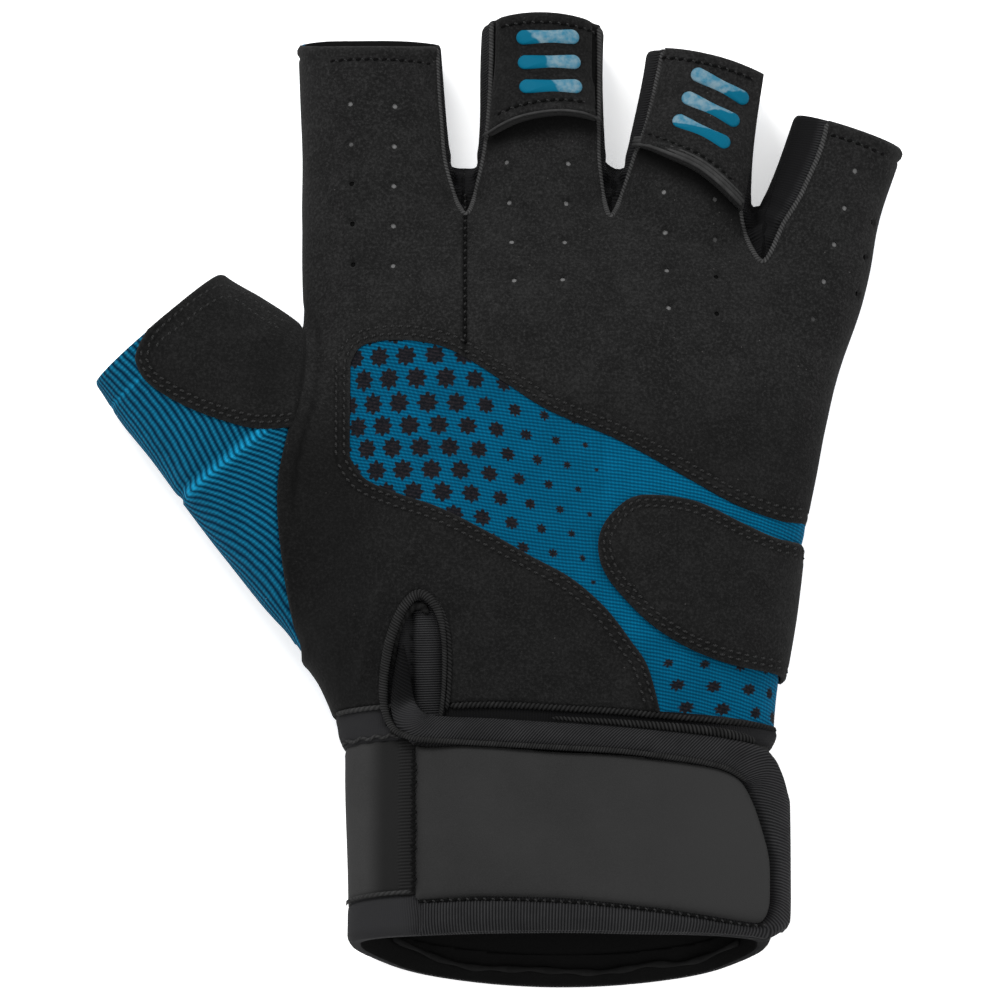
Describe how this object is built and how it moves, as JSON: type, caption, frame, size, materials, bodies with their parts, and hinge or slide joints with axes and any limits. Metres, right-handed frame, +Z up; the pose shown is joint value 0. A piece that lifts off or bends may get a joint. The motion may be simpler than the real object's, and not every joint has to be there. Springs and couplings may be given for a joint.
{
  "type": "training glove",
  "caption": "Half-finger training glove for the left hand: suede palm over printed knit, finger pull tabs with grip bars, keyhole slit, padded cuff and wrist strap.",
  "frame": {"origin": "middle of the glove's box, at the level of the surface that its back rests on", "axes": "+Y from the cuff to the fingers, +Z up out of the palm, the thumb towards -X"},
  "size_m": [0.1456, 0.1774, 0.0304],
  "materials": {
    "suede": "fuzzy matt suede",
    "printed_knit": "fine ribbed knit with a dark geometric print",
    "back_knit": "fine ribbed knit",
    "rib_knit": "ribbed knit",
    "gusset_knit": "fine stretch knit",
    "silicone": "satin",
    "binding": "ribbed binding tape",
    "elastic": "elastic band",
    "neoprene": "smooth padded cloth",
    "strap": "smooth matt"
  },
  "bodies": {
    "root": {"index_thenar_panel": "suede", "upper_palm_panel": "suede", "palm_knit_insert": "printed_knit", "heel_patch": "suede", "back_panel": "back_knit", "thumb_knit": "rib_knit", "thumb_patch": "suede", "fourchette_index_middle": "gusset_knit", "fourchette_middle_ring": "gusset_knit", "fourchette_ring_little": "gusset_knit", "tab_middle": "suede", "grip_bar_middle_1": "silicone", "grip_bar_middle_2": "silicone", "grip_bar_middle_3": "silicone", "tab_ring": "suede", "grip_bar_ring_1": "silicone", "grip_bar_ring_2": "silicone", "grip_bar_ring_3": "silicone", "slit_binding": "binding", "slit_gusset": "gusset_knit", "wrist_elastic": "elastic", "cuff_sleeve": "neoprene", "cuff_hem": "binding", "strap_panel": "strap", "strap_binding": "binding"}
  },
  "joints": []
}
